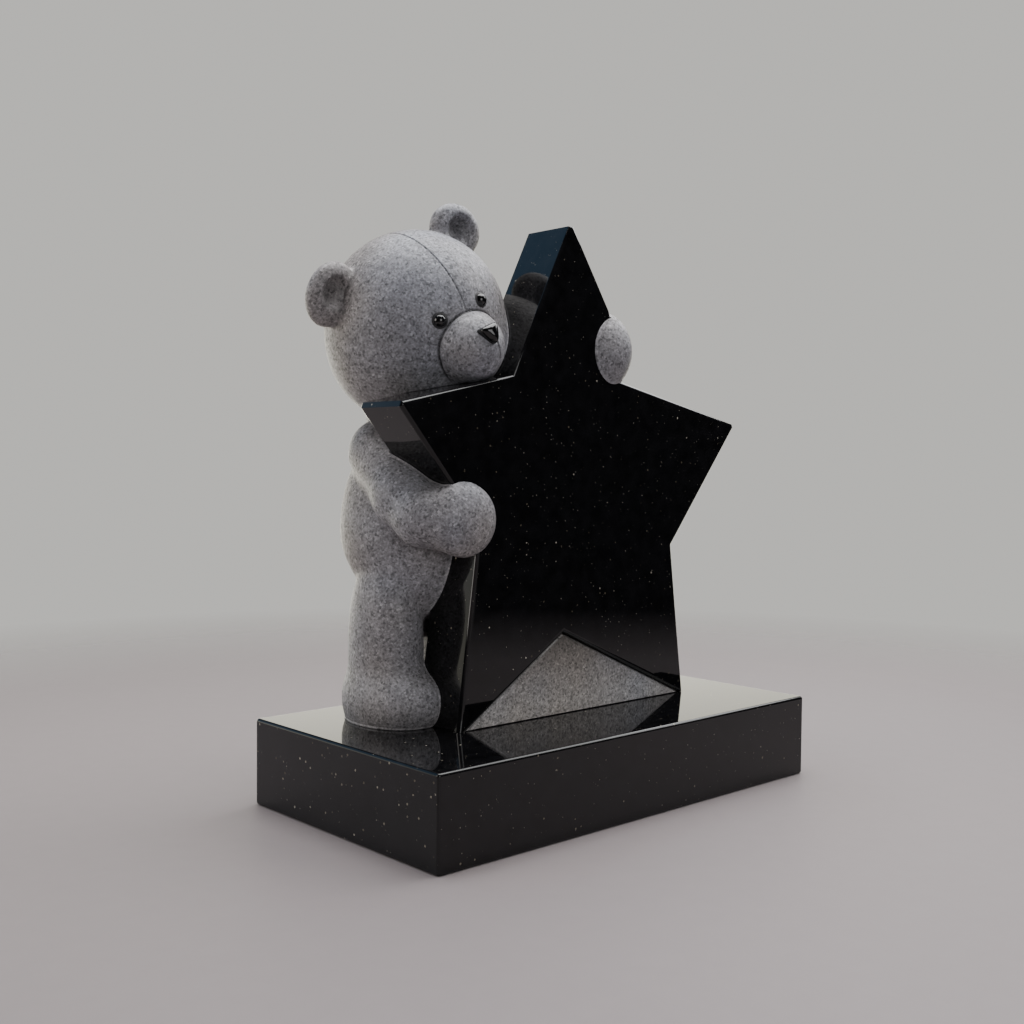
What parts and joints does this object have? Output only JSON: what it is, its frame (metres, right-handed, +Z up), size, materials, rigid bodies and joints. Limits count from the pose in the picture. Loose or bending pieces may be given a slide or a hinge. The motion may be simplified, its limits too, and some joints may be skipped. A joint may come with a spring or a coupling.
{
  "type": "teddy bear headstone",
  "caption": "Granite memorial: a bear hugging an upright five-pointed star on a rectangular base, with an inset wedge between the star's feet.",
  "frame": {"origin": "centre of the base's underside", "axes": "+X along the base's length to the right of a viewer of the star's face, +Y from the star's face to its back, +Z up"},
  "size_m": [0.6134, 0.3515, 0.7076],
  "materials": {
    "base": "polished",
    "star": "polished",
    "insert": "honed",
    "bear": "honed",
    "eyes": "polished",
    "nose": "polished"
  },
  "bodies": {
    "root": {"base": "base", "star": "star", "insert": "insert", "bear": "bear", "left_eye": "eyes", "right_eye": "eyes", "nose": "nose"}
  },
  "joints": []
}
